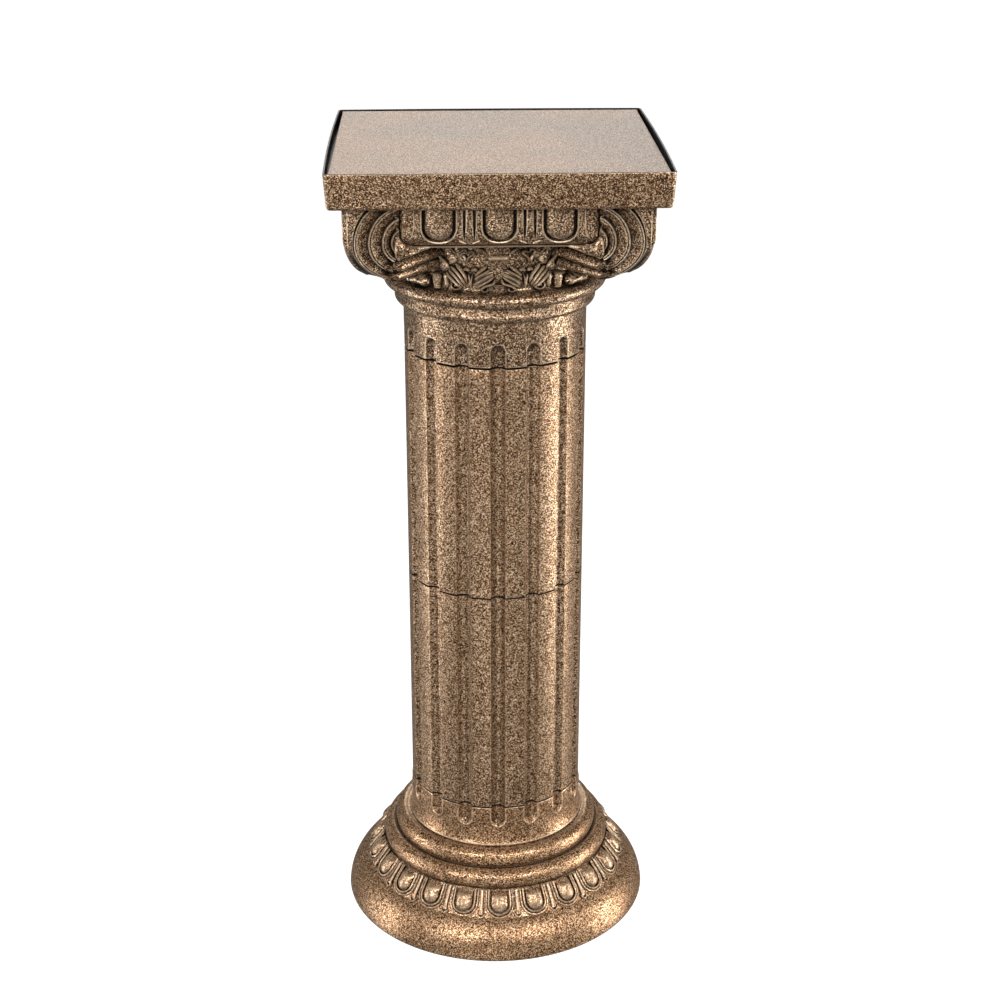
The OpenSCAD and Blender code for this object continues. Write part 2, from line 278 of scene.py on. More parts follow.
def loft(path, section, width=None, height=None):
    """Carries a ring section along a path that lies in a flat sheet.

    path is [n, 2] in the sheet, section [m, 2] is [sideways, up from the sheet], and width and height
    scale it at each point of the path. The answer is [n, m, 3]: the sheet's two directions and the
    height above it.
    """
    path = np.asarray(path, float)
    heading = np.gradient(path, axis=0)
    heading /= np.linalg.norm(heading, axis=-1, keepdims=True)
    side = np.stack([heading[:, 1], -heading[:, 0]], -1)
    width = np.ones(len(path)) if width is None else np.asarray(width, float)
    height = np.ones(len(path)) if height is None else np.asarray(height, float)
    flat = path[:, None] + side[:, None] * (section[None, :, :1] * width[:, None, None])
    up = section[None, :, 1] * height[:, None]
    return np.concatenate([flat, up[..., None]], -1)


def taper(count, start=0.15, end=0.15, blunt=0.25):
    """A scale along a path that grows from start to 1 and shrinks to end, rounded like a bud."""
    t = np.linspace(0, 1, count)
    rise = np.sqrt(np.clip(1 - (1 - np.clip(t / blunt, 0, 1)) ** 2, 0, 1))
    fall = np.sqrt(np.clip(1 - (1 - np.clip((1 - t) / blunt, 0, 1)) ** 2, 0, 1))
    return np.maximum(rise, start) * np.maximum(fall, end)


def outline(columns, start=0.9, painted_highlight=0.0):
    """Tone of a half round section's columns: painted shade where it meets the sheet, a painted highlight
    on its top.
    """
    angle = np.linspace(0, 2 * math.pi, columns, endpoint=False)
    return dark / 2 * smooth_step(np.abs(np.cos(angle)), start, 1.0) + painted_highlight * np.maximum(np.sin(angle), 0)


def u_path(radius, rise, count=20):
    """A U in a sheet: down one side, round the bottom and up the other, about the point (0, 0)."""
    bend = arc(0, 0, radius, 180, 360, count)
    left = np.stack([np.full(4, -radius), np.linspace(rise, rise * 0.15, 4)], -1)
    right = np.stack([np.full(4, radius), np.linspace(rise * 0.15, rise, 4)], -1)
    return np.concatenate([left, bend, right])


def egg(radius, rise, bulge, sink, columns=24, top=1.0):
    """An egg in a sheet: a half round body with a round foot, open at the top where a moulding cuts it.

    Round the foot, the section shrinks with the cosine of the angle down to the tip. Over the upper
    half of the rise its height falls to the share top.
    """
    down = np.radians(np.linspace(86, 0, 12))
    up = np.linspace(0, rise, 9)[1:]
    y = np.concatenate([-radius * np.sin(down), up])
    width = np.concatenate([np.cos(down), np.ones(len(up))])
    tall = width * (1 + (top - 1) * smooth_step(y, rise * 0.4, rise))
    path = np.stack([np.zeros(len(y)), y], -1)
    return loft(path, half_round(columns, radius, bulge, sink), width, tall)


# ---------------- turned and fluted bodies

def flute_angles():
    """Angles round the axis, closest together at the soft edges of each flute."""
    pitch = 360 / flute_count
    edge = math.degrees(flute_r / shaft_r)
    within, beyond = edge * 0.72, edge * 1.2
    half = np.concatenate([line(0, within, 4), line(within, beyond, 7), np.linspace(beyond, pitch / 2, 5)])
    one = np.concatenate([-half[:0:-1], half[:-1]])
    return np.radians(np.concatenate([one + i * pitch for i in range(flute_count)]) - 90)


def fluted(radius, z, angle, foot_z, top_z):
    """Radius of the fluted surface: the land, cut by a ball-ended round tool in each flute.

    The tool's surface is its axis radius less the height of a circle over the distance from the
    flute's middle; past the ends the distance is that from the ball's centre. The two are joined
    by a polynomial smooth minimum.
    """
    pitch = 2 * math.pi / flute_count
    from_middle = (angle + math.pi / 2 + pitch / 2) % pitch - pitch / 2
    side = from_middle * shaft_r
    past = np.maximum(0, np.maximum(foot_z + flute_r - z, z - top_z + flute_r))
    away = np.hypot(side, past)
    cut = flute_axis_r - np.sqrt(np.maximum(flute_r ** 2 - away ** 2, 0))
    blend = np.clip(0.5 + 0.5 * (cut - radius) / flute_soft, 0, 1)
    joined = cut * (1 - blend) + radius * blend - flute_soft * blend * (1 - blend)
    lip = foot_lip_h * np.exp(-((away - flute_r - foot_lip_away) / foot_lip_soft) ** 2)
    lip = lip * smooth_step(z, seam_base - 3, seam_base - 12)
    return np.where(away < flute_r + 3, np.minimum(joined, radius), radius) + lip


far_away = 1e6


def turned_body(section, skin_rows, foot_z=-far_away, top_z=far_away, flutes=None):
    """A closed section turned round the axis; its first skin_rows points carry the flutes.

    flutes gives a share from 0 to 1 for each of those points. The section is [radius, z].
    """
    angle = flute_angles()[None, :]
    radius = section[:, :1] * np.ones_like(angle)
    z = section[:, 1:] * np.ones_like(angle)
    share = np.zeros((len(section), 1))
    share[:skin_rows, 0] = 1 if flutes is None else flutes
    radius = radius + share * (fluted(radius, z, angle, foot_z, top_z) - radius)
    return np.stack([radius * np.cos(angle), radius * np.sin(angle), z], -1)


def shaft(name, z_low, z_high, low_gap, high_gap):
    """One shaft section: a fluted skin with softened ends round a plain bore."""
    start, end = z_low + low_gap, z_high - high_gap
    soft = 0.5
    skin = np.concatenate([
        [[shaft_r - soft, start], [shaft_r - soft * 0.3, start + soft * 0.3], [shaft_r, start + soft]],
        line((shaft_r, start + 1), (shaft_r, end - 1), 24),
        [[shaft_r, end - soft], [shaft_r - soft * 0.3, end - soft * 0.3], [shaft_r - soft, end]],
    ])
    inside = np.array([[shoulder_r, end], [shoulder_r, z_high], [bore_r, z_high],
                       [bore_r, z_low], [shoulder_r, z_low], [shoulder_r, start]])
    body = Moulding(name)
    grid = turned_body(np.concatenate([skin, inside]), len(skin))
    body.add(grid, closed_rows=True, tone=painted_seam_shade(grid[..., 2]))
    return body


def painted_seam_shade(z):
    """Paints shade on the edges that face one another across a seam."""
    away = np.min([np.abs(z - seam) for seam in (seam_base, seam_shaft, seam_capital)], axis=0)
    return np.where(away < seam_shade_reach, dark, 0.0)


# ---------------- base

foot_round_r = 49
foot_round_x = foot_r - foot_round_r
roll_r = 13.5
lower_roll = np.array([119.0, 75.0])
upper_roll = np.array([105.0, 94.2])
band_top = lower_roll + polar(roll_r, -30)
band_foot = np.array([foot_round_x, 0]) + polar(foot_round_r, 60)
lip_z = 107.6
lip_r = shaft_r + 3.8
base_egg_count = 22
base_egg_r = 10.0
base_border_r = 13.7


def base_section():
    """Half section of the base: foot, egg band, two rolls with a sharp lip over each, flared stub."""
    lower_lip = upper_roll + polar(roll_r, -27)
    flare = np.linspace(0, 1, 12)
    outer = [
        arc(foot_r - 3.2, 3.2, 3.2, -88, -4, 5),
        arc(foot_round_x, 0, foot_round_r, 5, 60, 26),
        line(band_foot + (band_top - band_foot) * 0.04, band_top, 14),
        arc(*lower_roll, roll_r, -28, 79, 20),
        [[119.4, 86.3], [118.0, 85.6], [116.9, 86.2]],
        [[lower_lip[0] - 0.15, lower_lip[1] - 0.5], [lower_lip[0] + 0.15, lower_lip[1] - 0.1]],
        arc(*upper_roll, roll_r, -24, 76, 20),
        [[105.6, 105.7], [103.6, 104.9], [101.9, 105.6]],
        [[lip_r - 0.1, lip_z - 0.4], [lip_r + 0.05, lip_z]],
        np.stack([shaft_r + (lip_r - shaft_r) * np.exp(-4.2 * flare) - 0.05,
                  lip_z + 0.4 + 19 * flare], -1),
        line((shaft_r, lip_z + 21), (shaft_r, seam_base - seam_gap - 1), 16),
        [[shaft_r, seam_base - seam_gap - 0.5], [shaft_r - 0.5, seam_base - seam_gap]],
    ]
    inner = [
        [[shoulder_r, seam_base - seam_gap], [shoulder_r, seam_base], [bore_r, seam_base]],
        [[bore_r, 97.0], [112.0, 84.0], [125.0, 80.0]],
        [[128.0, 68.0], band_foot - [4.5, 2.5]],
        arc(foot_round_x, 0, foot_round_r - 3, 55, 3, 10),
    ]
    return joined(outer), joined(inner)


def on_band(sheet):
    """Carries [along, up the slope, height] onto the base's egg band.

    up = 0 is the band's foot. The point moves from there up the slope and out along its normal, and
    along is an arc round the axis at the band's middle radius.
    """
    slope = band_top - band_foot
    slope = slope / np.linalg.norm(slope)
    normal = np.array([slope[1], -slope[0]])
    radius, z = (band_foot + sheet[..., 1:2] * slope + sheet[..., 2:3] * normal).T
    angle = sheet[..., 0].T / ((band_top + band_foot) / 2)[0]
    return np.stack([radius * np.sin(angle), -radius * np.cos(angle), z]).T


def base_eggs(body):
    """Eggs in raised borders round the base, with a dart between each two."""
    rise = 15.6
    centre = np.array([0, rise, 0])
    whole = egg(base_egg_r, rise, 7.0, 2.5, top=0.3)
    # border section [sideways, up]: a low inner step, then a raised outer lip; sideways grows outwards
    border = np.array([[-2.6, -2.0], [-2.5, 1.5], [-1.9, 2.1], [-0.6, 1.9], [0.3, 2.3], [1.1, 3.4],
                       [1.8, 3.7], [2.4, 3.2], [2.7, 1.6], [2.8, -2.0]]) * [-1, 1]
    ring = loft(u_path(base_border_r, rise), border)
    # painted shade on the border's outer side, where it meets the band
    ring_foot_shade = np.where(np.arange(len(border)) >= len(border) - 2, dark / 2, 0.0)
    stem_width = 1 + 0.35 * smooth_step(np.linspace(0, 1, 12), 0.3, 0)
    stem = loft(line((0, 3.5), (0, 33), 12), half_round(14, 1.9, 3.2, 2.0, 1.5), stem_width)
    v_left = loft(np.array([[-4.2, 4.6], [-2.9, 2.2], [-1.4, 0.6], [0.2, -0.4]]),
                  half_round(10, 1.0, 3.0, 2.0), [0.6, 1, 1, 0.8])
    v_right = v_left * [-1, 1, 1]
    # the eggs get painted shade round their sides and a painted highlight on top, the darts' stems painted
    # shade along their foot
    on_egg = [(whole + centre, outline(24, painted_highlight=0.25)), (ring + centre, ring_foot_shade)]
    between = [(stem, outline(14)), (v_left, 0.0), (v_right, 0.0)]
    half_pitch = 180 / base_egg_count
    for i in range(base_egg_count):
        for parts, turn in ((on_egg, 2 * i * half_pitch), (between, (2 * i + 1) * half_pitch)):
            for part, tone in parts:
                body.add(turned(on_band(part), turn), tone=tone)


# tone that lifts the painted crease shade over a roll, and tone that paints a highlight on the lip above it
crease_shade_lift = 0.75
crease_below = 2.3
crease_reach = (2.2, 1.2)
lip_highlight = 0.5
lip_reach = (1.2, 0.8)


def near(section, radius, z, reach):
    """1 where a point of the section lies within reach of a place, sideways and up, else 0."""
    return (np.abs(section[:, 0] - radius) < reach[0]) & (np.abs(section[:, 1] - z) < reach[1])


def roll_lip_painted_light(section):
    """Tone along the base's section: the painted shade in the creases over the two rolls lifted, a painted
    highlight on the lips.
    """
    tone = np.zeros(len(section))
    lower_lip = upper_roll + roll_r * np.array([0.89, -0.45])
    for (radius, z), crease_r in ((lower_lip, 118.0), ((lip_r, lip_z), 103.6)):
        tone += crease_shade_lift * near(section, crease_r, z - crease_below, crease_reach)
        tone += lip_highlight * near(section, radius, z, lip_reach)
    return tone


def base_piece():
    """The base moulding with its flutes' round feet and its eggs and darts."""
    outer, inner = base_section()
    section = np.concatenate([outer, inner])
    share = smooth_step(outer[:, 1], lip_z + 8, lip_z + 14)
    body = Moulding("base_moulding")
    grid = turned_body(section, len(outer), foot_z=flute_foot_z, flutes=share)
    body.add(grid, closed_rows=True, tone=painted_seam_shade(grid[..., 2]) + roll_lip_painted_light(section)[:, None])
    base_eggs(body)
    return body


# ---------------- capital: neck and bell

lower_ring = np.array([101.5, 736.4])
lower_ring_t = 6.0
upper_ring = np.array([111.7, 755.7])
upper_ring_t = 7.2
bell_r = 106.0
echinus_drop = 41.5
echinus_z = tray_z - echinus_drop


def neck_section():
    """Half section of the neck: plain stretch with the flutes' arched tops, two rings, the bell."""
    start = seam_capital + neck_seam_gap
    outer = [
        [[shaft_r - 0.5, start], [shaft_r - 0.15, start + 0.15], [shaft_r, start + 0.5]],
        line((shaft_r, start + 2), (shaft_r, 729.0), 40),
        [[shaft_r - 0.5, 729.6], [shaft_r - 0.5, 730.4], [shaft_r + 0.6, 730.9]],
        arc(*lower_ring, lower_ring_t, -62, 30, 12),
        [[106.3, 742.0], [106.2, 745.0], [105.6, 746.6], [106.0, 747.8], [107.6, 748.4]],
        arc(*upper_ring, upper_ring_t, -75, 88, 18),
        [[109.0, 763.8], [107.0, 765.2], [bell_r, 767.0]],
        line((bell_r, 769.0), (bell_r, echinus_z), 10),
    ]
    inner = np.array([[bore_r + 6, echinus_z], [bore_r + 6, 760.0], [bore_r, 750.0],
                      [bore_r, seam_capital], [shoulder_r, seam_capital], [shoulder_r, start]])
    return joined(outer), inner


def neck_piece():
    """The neck of the capital."""
    outer, inner = neck_section()
    section = np.concatenate([outer, inner])
    share = smooth_step(outer[:, 1], 722, 716)
    body = Moulding("capital_neck")
    grid = turned_body(section, len(outer), top_z=flute_top_z, flutes=share)
    body.add(grid, closed_rows=True, tone=painted_seam_shade(grid[..., 2]))
    return body


# ---------------- capital: egg and dart block

echinus_reach = volute_reach - 3.6
echinus_round_r = 16.0
echinus_half = 98.0
echinus_end_r = 7.0
pocket_d = 4.0
groove_d = 3.2
side_egg_pitch = 59.5
side_egg_r = 14.6
# how far below the tray the eggs' round feet have their centres
side_egg_s = 20.5
side_eggs = (-side_egg_pitch, 0.0, side_egg_pitch)
side_darts = (-side_egg_pitch / 2, side_egg_pitch / 2)
straight_h = echinus_drop - echinus_round_r


def on_echinus(sheet):
    """Carries [along, up, height] onto the front of the block; up = 0 is the tray's underside.

    Down to the round's start the front is upright. Below that, the distance is an arc of the round:
    the point turns by distance / radius, and height is measured along the turned normal.
    """
    distance = -sheet[..., 1]
    angle = np.maximum(distance - straight_h, 0) / echinus_round_r
    out = echinus_reach - echinus_round_r + (echinus_round_r + sheet[..., 2]) * np.cos(angle)
    z = tray_z - np.minimum(distance, straight_h) - (echinus_round_r + sheet[..., 2]) * np.sin(angle)
    return np.stack([sheet[..., 0], -out, z], -1)


def from_egg(along, up):
    """Distance of a point in the sheet from the nearest egg's upright middle line."""
    nearest = np.min([np.abs(along - x) for x in side_eggs], axis=0)
    return np.hypot(nearest, np.maximum(-side_egg_s - up, 0))


def echinus_block():
    """The block's front with a pocket for each egg and two grooves beside each dart, closed behind.

    The front is sunk by pocket_d inside an egg's pocket and by groove_d in a groove, with smooth steps
    of about a millimetre for walls. The ends turn back in plan on a circle.
    """
    marks = [x + e for x in side_eggs for e in (-18, -17.2, -16.4, 16.4, 17.2, 18)]
    marks += [x + e for x in side_darts for e in (-6.2, -5.6, -4.4, -3.8, 3.8, 4.4, 5.6, 6.2)]
    along = np.unique(np.concatenate([np.linspace(-echinus_half, echinus_half, 150), marks]))
    up = -np.concatenate([np.linspace(0.0, straight_h, 18)[:-1],
                          np.linspace(straight_h, straight_h + echinus_round_r * math.pi / 2, 26)])
    a, u = np.meshgrid(along, up, indexing="ij")
    pocket = pocket_d * smooth_step(from_egg(a, u), 17.6, 16.2)
    groove = np.zeros_like(a)
    for x in side_darts:
        beside = np.abs(np.abs(a - x) - 5.0)
        lean = np.clip((-u - 20) / 14, 0, 1) * 0.8
        groove = np.maximum(groove, smooth_step(beside + lean, 1.5, 0.7) * smooth_step(-u, 35.5, 33.0))
    front = on_echinus(np.stack([a, u, -pocket - groove_d * groove], -1))
    end = np.clip((np.abs(a) - (echinus_half - echinus_end_r)) / echinus_end_r, 0, 1)
    front[..., 1] += echinus_end_r * (1 - np.sqrt(1 - end ** 2 * 0.98))
    back = np.array([[-110.0, echinus_z], [-100.0, echinus_z], [-100.0, tray_z]])
    behind = np.stack([np.broadcast_to(along[:, None], (len(along), 3)),
                       np.broadcast_to(back[:, 0], (len(along), 3)),
                       np.broadcast_to(back[:, 1], (len(along), 3))], -1)
    return np.concatenate([front, behind], 1)


def echinus_trim():
    """Eggs, their thin lips, the darts' feet and the faint outer border, in the block's sheet."""
    lip = loft(u_path(17.4, side_egg_s, 26), half_round(10, 0.9, 1.5, 2.5))
    parts = [lip + np.array([x, -side_egg_s, 0]) for x in side_eggs]
    barb = np.array([[10.2, -34.6], [8.0, -36.2], [5.6, -37.6], [3.0, -38.9]])
    for x in side_darts:
        for side in (-1, 1):
            path = barb * [side, 1] + [x, 0]
            parts.append(loft(path, half_round(8, 0.8, 1.5, 1.5), taper(4, 0.5, 0.5)))
        parts.append(loft(np.array([[x, -33.0], [x, -37.0], [x, -40.5]]),
                          half_round(10, 2.6, 1.0, 1.5), [1, 0.8, 0.3]))
    for side in (-1, 1):
        path = np.array([[0, -1.0], [0, -12.0], [0.4, -22.0], [2.6, -30.0], [7.0, -36.0]])
        path = (path + [24.0, 0]) * [side, 1] + [side * side_egg_pitch, 0]
        parts.append(loft(path, half_round(8, 0.7, 0.9, 1.5), taper(5, 0.4, 0.2)))
    return parts


def echinus_piece():
    """The four sides of the egg and dart block, each with its thin fillet below."""
    body = Moulding("capital_egg_band")
    block = echinus_block()
    whole = egg(side_egg_r, side_egg_s, 6.6, 4.5, 28)
    eggs = [on_echinus(whole + [x, -side_egg_s, -2.8]) for x in side_eggs]
    trim = [on_echinus(part) for part in echinus_trim()]
    fillet = thin_fillet()
    for turn in sides:
        body.add(turned(block, turn))
        body.add(turned(fillet, turn))
        for part in eggs:
            # painted shade round each egg's sides and a painted highlight on its top
            body.add(turned(part, turn), tone=outline(28, painted_highlight=0.15))
        for part in trim:
            body.add(turned(part, turn))
    return body


def thin_fillet():
    """The thin fillet under the eggs: a rounded bar that joins the tongues of two volutes."""
    along = np.linspace(-86, 86, 40)
    profile = np.array([[100, -3.6], [134.5, -3.4], [136.4, -2.8], [137.2, -1.9], [136.4, -1.0],
                        [134.5, -0.6], [100, -0.4]])
    out = np.broadcast_to(profile[:, 0], (len(along), len(profile)))
    z = np.broadcast_to(echinus_z + profile[:, 1], out.shape)
    return np.stack([np.broadcast_to(along[:, None], out.shape), -out, z], -1)


# ---------------- capital: volutes

scroll_w = 91.0
scroll_z = tray_z - 37.5
# the face leans back on this radius below this height
lean_r = 68.0
lean_z = tray_z - 29.5
flank_setback = 1.2
# how far the outermost band turns away at its foot, and the share of it that is drawn as painted shade on
# that turned-down face
turn_away = 15.0
turn_away_shade = -0.075
face_t = 9.0

# key lines of a scroll, from the outer edge in: [reach sideways, height up, height down, foot angle,
# top angle, set back]
scroll_lines = (
    (51.4, 47.5, 42.0, 65.0, 53.0, 0.0),
    (37.3, 38.4, 33.0, 61.5, 80.0, 1.2),
    (23.6, 26.8, 22.4, 58.5, 72.0, 3.4),
    (14.8, 15.2, 13.6, 54.0, 60.0, 5.2),
    (10.6, 9.4, 9.6, 50.0, 48.0, 5.6),
)


# depth of each band's hollow, and the width of its crest as a share of the band
band_depths = (1.0, 5.2, 4.8, 4.2, 0.6)
band_ridges = (0.10, 0.12, 0.13, 0.2, 0.3)


def face_out(z):
    """How far out a volute's face stands: upright, then leaning back on a large circle below."""
    below = np.clip(lean_z - z, 0, lean_r * 0.98)
    return volute_reach - (lean_r - np.sqrt(lean_r ** 2 - below ** 2))


def scroll_curve(rows, sideways, up, down, foot, top):
    """One C of the scroll, as [sideways, z]: two quarter ellipses from the top angle to the foot."""
    angle = np.radians(np.concatenate([np.linspace(top, 0, rows // 2, endpoint=False),
                                       np.linspace(0, -foot, rows - rows // 2)]))
    rise = np.where(angle > 0, up, down) * np.sin(angle)
    return np.stack([scroll_w + sideways * np.cos(angle), scroll_z + rise], -1)


def outer_edge(rows):
    """The outer edge of a volute: upright under the tray, then a flattened quarter ellipse to the tip."""
    half = rows // 2
    straight = np.stack([np.linspace(149.6, 149.2, half, endpoint=False),
                         np.linspace(tray_z, scroll_z, half, endpoint=False)], -1)
    angle = np.radians(np.linspace(0, -63.0, rows - half))
    bend = np.stack([scroll_w + 58.2 * np.cos(angle), scroll_z + 46.6 * np.sin(angle)], -1)
    return np.concatenate([straight, bend])


def band_relief(share, depth, ridge):
    """Height across one band, from one fillet's crest (share 0) to the next (share 1).

    The crest drops to a hair groove, a shoulder follows, and a hollow deepens to the next fillet,
    whose wall rises steeply. ridge is the crest's width as a share of the band.
    """
    groove = -0.9 * smooth_step(share, ridge * 0.4, ridge) + 0.5 * smooth_step(share, ridge, ridge * 1.7)
    hollow = -depth * smooth_step(share, ridge, 0.86) ** 0.9
    wall = (depth + 0.4) * smooth_step(share, 1 - ridge * 0.9, 1 - ridge * 0.15)
    return groove + hollow + wall


def volute_half(rows=64):
    """Half a corner volute: a banded C-shaped face, closed behind along the corner's diagonal."""
    lines = [outer_edge(rows)] + [scroll_curve(rows, *v[:5]) for v in scroll_lines]
    backs = [0.0] + [v[5] for v in scroll_lines]
    counts = (16, 18, 18, 12, 5)
    columns, reliefs, falls = [], [], []
    for i, count in enumerate(counts):
        share = np.linspace(0, 1, count, endpoint=False)
        if i == 0:
            # the outermost band: a softened arris, a nearly flat face, then the first fillet's groove
            relief = (-1.0 * smooth_step(share, 0.08, 0.0) - 0.7 * smooth_step(share, 0.1, 0.7)
                      - 2.2 * smooth_step(share, 0.76, 0.88) + 2.9 * smooth_step(share, 0.9, 0.99))
        else:
            relief = band_relief(share, band_depths[i], band_ridges[i])
        step = backs[i] + (backs[i + 1] - backs[i]) * share
        for s, r in zip(share, relief - step):
            columns.append(lines[i] * (1 - s) + lines[i + 1] * s)
            reliefs.append(r)
            falls.append(max(0.0, 1 - s / 0.86) if i == 0 else 0.0)
    columns.append(lines[-1])
    reliefs.append(-backs[-1])
    falls.append(0.0)
    flat = np.stack(columns, 1)
    w, z = flat[..., 0], flat[..., 1]
    # the lower part of the outermost band turns away, down and to the side
    turned_away = turn_away * smooth_step(z, scroll_z + 2, scroll_z - 26) * np.array(falls)
    out = face_out(z) + np.array(reliefs) - turned_away
    front = np.stack([w, -out, z], -1)
    behind_w = w[:, ::-3]
    behind_z = z[:, ::-3]
    behind_out = np.minimum(np.minimum(face_out(behind_z) - face_t, behind_w - 0.5), out[:, ::-3] - 0.6)
    behind = np.stack([behind_w, -behind_out, behind_z], -1)
    tone = np.zeros(front.shape[:2])
    # painted shade on the outer band's foot, where it turns down and away
    tone[:, 1:] = turn_away_shade * turned_away[:, 1:]
    return np.concatenate([front, behind], 1), np.concatenate([tone, np.zeros(behind.shape[:2])], 1)


def volute_tongue():
    """The eye of the scroll: a bulging tongue that narrows into the thin fillet."""
    t = np.linspace(0, 1, 34)
    w = 103.8 - 35 * t
    z = np.interp(t, [0, 0.2, 0.35, 0.5, 0.75, 1.0], [820.6, 820.2, 818.4, 817.6, 818.6, 820.0])
    out = 146.6 - 9.8 * smooth_step(t, 0.25, 0.9)
    half = np.interp(t, [0, 0.02, 0.05, 0.1, 0.15, 0.22, 0.3, 0.4, 0.5, 0.75, 1.0],
                     [2.0, 5.6, 8.8, 11.2, 11.6, 9.6, 7.4, 5.8, 4.6, 2.9, 1.3])
    angle = np.linspace(0, 2 * math.pi, 20, endpoint=False)
    up = half[:, None] * np.sin(angle)
    thick = (1.0 + 3.4 * np.minimum(1, half / 9))[:, None] * np.cos(angle)
    return np.stack([np.broadcast_to(w[:, None], up.shape), -(out[:, None] + thick), z[:, None] + up], -1)


roll_columns = 24


def flank_roll(start, end, radius, end_radius):
    """A roll along the flank, from the volute's face in to the bell.

    Its section is a circle. Each point of the first ring slides along the roll's own direction until
    it lies just behind the face, so that the end is cut flush with it.
    """
    start, end = np.array(start), np.array(end)
    t = np.linspace(0, 1, 16)
    size = radius + (end_radius - radius) * t
    heading = (end - start) / np.linalg.norm(end - start)
    side = np.cross(heading, [0, 0, 1.0])
    side /= np.linalg.norm(side)
    up = np.cross(side, heading)
    angle = np.linspace(0, 2 * math.pi, roll_columns, endpoint=False)
    ring = side[None] * np.cos(angle)[:, None] + up[None] * np.sin(angle)[:, None]
    grid = (start + (end - start) * t[:, None])[:, None] + ring[None] * size[:, None, None]
    slide = (-(face_out(grid[0, :, 2]) - flank_setback) - grid[0, :, 1]) / heading[1]
    grid += (heading * slide[:, None])[None] * (1 - t)[:, None, None]
    return grid


def flank_wall():
    """The wall behind the two rolls, from the face to the bell."""
    start, end = np.array([104.0, -131.0]), np.array([62.0, -88.0])
    heading = (end - start) / np.linalg.norm(end - start)
    inwards = np.array([-heading[1], heading[0]])
    inwards = inwards if inwards[1] > 0 else -inwards
    path = start + (end - start) * np.linspace(0, 1, 8)[:, None]
    ring = [(-1.0, 788.0), (-1.0, 817.0), (12.0, 817.0), (12.0, 788.0)]
    rows = [np.concatenate([path + inwards * d, np.full((8, 1), z)], 1) for d, z in ring]
    return np.stack(rows, 1)


def volutes_piece():
    """The four corner volutes, each of two mirrored halves with their tongues and flank rolls."""
    body = Moulding("capital_volutes")
    half, tone = volute_half()
    angle = np.linspace(0, 2 * math.pi, roll_columns, endpoint=False)
    # painted shade along the top and bottom of each roll, in the gaps between them
    roll_gap_shade = dark / 2 * smooth_step(np.abs(np.sin(angle)), 0.9, 1)
    parts = [
        volute_tongue(),
        flank_roll((110.0, -137.0, 789.2), (64.0, -91.0, 792.5), 5.6, 6.0),
        flank_roll((105.0, -144.0, 801.0), (62.0, -92.0, 804.8), 6.2, 6.4),
        flank_wall(),
    ]
    for turn in sides:
        for part in [half] + parts:
            part_tone = tone if part is half else roll_gap_shade if part.shape[1] == roll_columns else 0.0
            body.add(turned(part, turn), tone=part_tone)
            body.add(turned(mirrored(part), turn), tone=part_tone)
    return body


# ---------------- capital: leaves

def on_bell(sheet):
    """Carries [along, z, height] onto the round bell: along is an arc, height is radial."""
    radius = bell_r + sheet[..., 2]
    angle = sheet[..., 0] / (bell_r + 3)
    return np.stack([radius * np.sin(angle), -radius * np.cos(angle), sheet[..., 1]], -1)


def curve(points, count):
    """A smooth path through a few points: a Catmull-Rom spline with evenly shared steps."""
    p = np.asarray(points, float)
    p = np.concatenate([[2 * p[0] - p[1]], p, [2 * p[-1] - p[-2]]])
    t = np.linspace(0, len(points) - 1, count)
    i = np.minimum(t.astype(int), len(points) - 2)
    f = (t - i)[:, None]
    a, b, c, d = p[i], p[i + 1], p[i + 2], p[i + 3]
    return 0.5 * (2 * b + (c - a) * f + (2 * a - 5 * b + 4 * c - d) * f ** 2
                  + (3 * b - a - 3 * c + d) * f ** 3)


# points round a thin rib, and the radius from which a rib is broad and gets more of them
rib_columns = 16
broad_rib_r = 2.5
broad_rib_columns = 22


def rib(points, radius, height, lift=0.0):
    """A rib on the bell through a few points [along, z]: a rounded bar that rises in the middle."""
    count = 18
    path = curve(points, count)
    rise = 1 + lift * np.sin(np.linspace(0, math.pi, count))
    columns = rib_columns if radius < broad_rib_r else broad_rib_columns
    return loft(path, half_round(columns, radius, height, 2), taper(count, 0.4, 0.4, 0.25),
                taper(count, 0.6, 0.6, 0.25) * rise)


def inner_lobe():
    """The curled leaf next to the middle: five ribs that spread up from its foot, and an eye."""
    lines = (
        [(23.7, 782.0), (18.0, 787.8), (11.6, 792.0)],
        [(24.0, 777.8), (18.0, 783.6), (8.7, 788.4)],
        [(22.4, 774.0), (15.1, 780.0), (5.2, 785.0)],
        [(20.8, 770.8), (13.0, 776.3), (4.6, 781.0)],
        [(18.4, 767.8), (12.6, 772.6), (5.4, 775.2), (3.4, 778.4)],
    )
    ribs = [rib(points, 1.75, 7.4, 0.4) for points in lines]
    eye = rib([(17.6, 768.8), (14.6, 766.8), (11.0, 767.4), (10.8, 770.2)], 1.1, 7.6)
    return ribs + [eye, lobe_bed((14.2, 779.0), (22.0, 12.5), 35)]


def outer_lobe():
    """The curled leaf further out, which leans the other way: four ribs and a round eye."""
    lines = (
        [(43.6, 793.0), (38.2, 789.4), (33.2, 782.7), (32.2, 774.6)],
        [(49.3, 790.0), (42.2, 786.6), (36.2, 779.2), (34.0, 771.8)],
        [(51.8, 786.4), (44.3, 782.6), (38.6, 776.2), (36.2, 770.4)],
        [(54.2, 783.2), (47.1, 778.6), (41.4, 773.6), (38.0, 769.0)],
    )
    ribs = [rib(points, 1.85, 7.4, 0.4) for points in lines]
    eye = rib([(47.4, 774.6), (47.8, 770.2), (44.6, 767.4), (40.4, 767.8), (37.4, 770.0)], 1.2, 7.0)
    dot = rib([(44.6, 771.2), (43.6, 771.4), (42.6, 771.2)], 1.7, 7.4)
    return ribs + [eye, dot, lobe_bed((42.6, 780.0), (21.0, 13.0), 140)]


